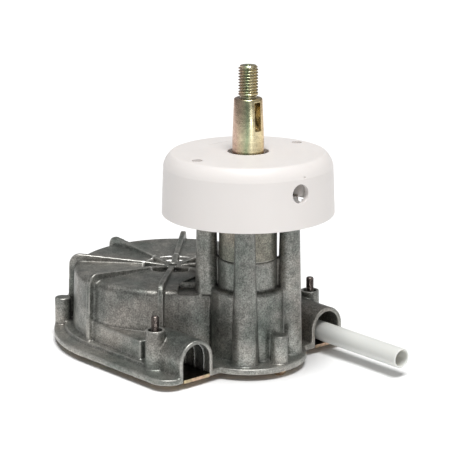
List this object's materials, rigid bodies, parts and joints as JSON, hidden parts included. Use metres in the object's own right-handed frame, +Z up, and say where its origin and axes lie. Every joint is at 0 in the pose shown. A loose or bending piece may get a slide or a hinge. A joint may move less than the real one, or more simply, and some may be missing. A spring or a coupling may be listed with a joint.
{
  "type": "rotary cable steering helm",
  "caption": "Single-cable rotary steering gearbox with a tapered wheel shaft, round dash bezel, four posts, ribbed cable drum housing and two cable ports.",
  "frame": {"origin": "on the steering shaft's axis, in the dash mounting plane, where the bezel's underside meets the tops of the four posts", "axes": "+Z up along the shaft towards the steering wheel, +X the way both cable ports face, -X towards the cable drum, so +Y is towards the port that holds the spent cable tube"},
  "size_m": [0.231, 0.159, 0.1855],
  "materials": {
    "cast_alloy": "as-cast, tumbled",
    "zinc_gold": "yellow zinc plated",
    "dark_steel": "dark zinc plated thread",
    "bright_steel": "bright zinc plated",
    "gear_steel": "machined and oiled",
    "sleeve_alloy": "as-cast, warmer",
    "bronze": "sintered",
    "white_plastic": "fine moulded texture",
    "tube_plastic": "milky, smooth",
    "black_plastic": "moulded",
    "seal_rubber": "matt"
  },
  "bodies": {
    "root": {"housing": "cast_alloy", "base_plate": "zinc_gold", "cover_screws": "zinc_gold", "clamp_screw_front": "dark_steel", "clamp_screw_rear": "dark_steel", "shaft_sleeve": "sleeve_alloy", "upper_bush": "bronze", "lower_bush": "bronze", "shaft_seal": "seal_rubber", "drum_axle": "gear_steel", "drum_washer": "gear_steel", "cable_guide": "black_plastic", "spent_tube": "tube_plastic", "bezel_cap": "white_plastic", "mounting_plate": "bright_steel", "mounting_bolts": "bright_steel", "mounting_washers": "bright_steel"},
    "shaft": {"steering_shaft": "zinc_gold", "pinion": "gear_steel", "pinion_key": "gear_steel", "thrust_washer": "gear_steel", "retaining_ring": "dark_steel"},
    "drum": {"drum_gear": "gear_steel", "cable_wheel": "gear_steel", "drum_bush": "bronze", "drum_rivets": "gear_steel"}
  },
  "joints": [
    {"name": "shaft_turn", "type": "hinge", "parent": "root", "child": "shaft", "pos_m": [0, 0, 0], "axis": [0, 0, 1], "range_deg": [-470, 470]},
    {"name": "drum_turn", "type": "hinge", "parent": "root", "child": "drum", "pos_m": [-0.074, 0, 0], "axis": [0, 0, 1], "range_deg": [-130, 130]}
  ],
  "couplings": [
    {"joint": "drum_turn", "follows": "shaft_turn", "ratio": -0.27586}
  ]
}
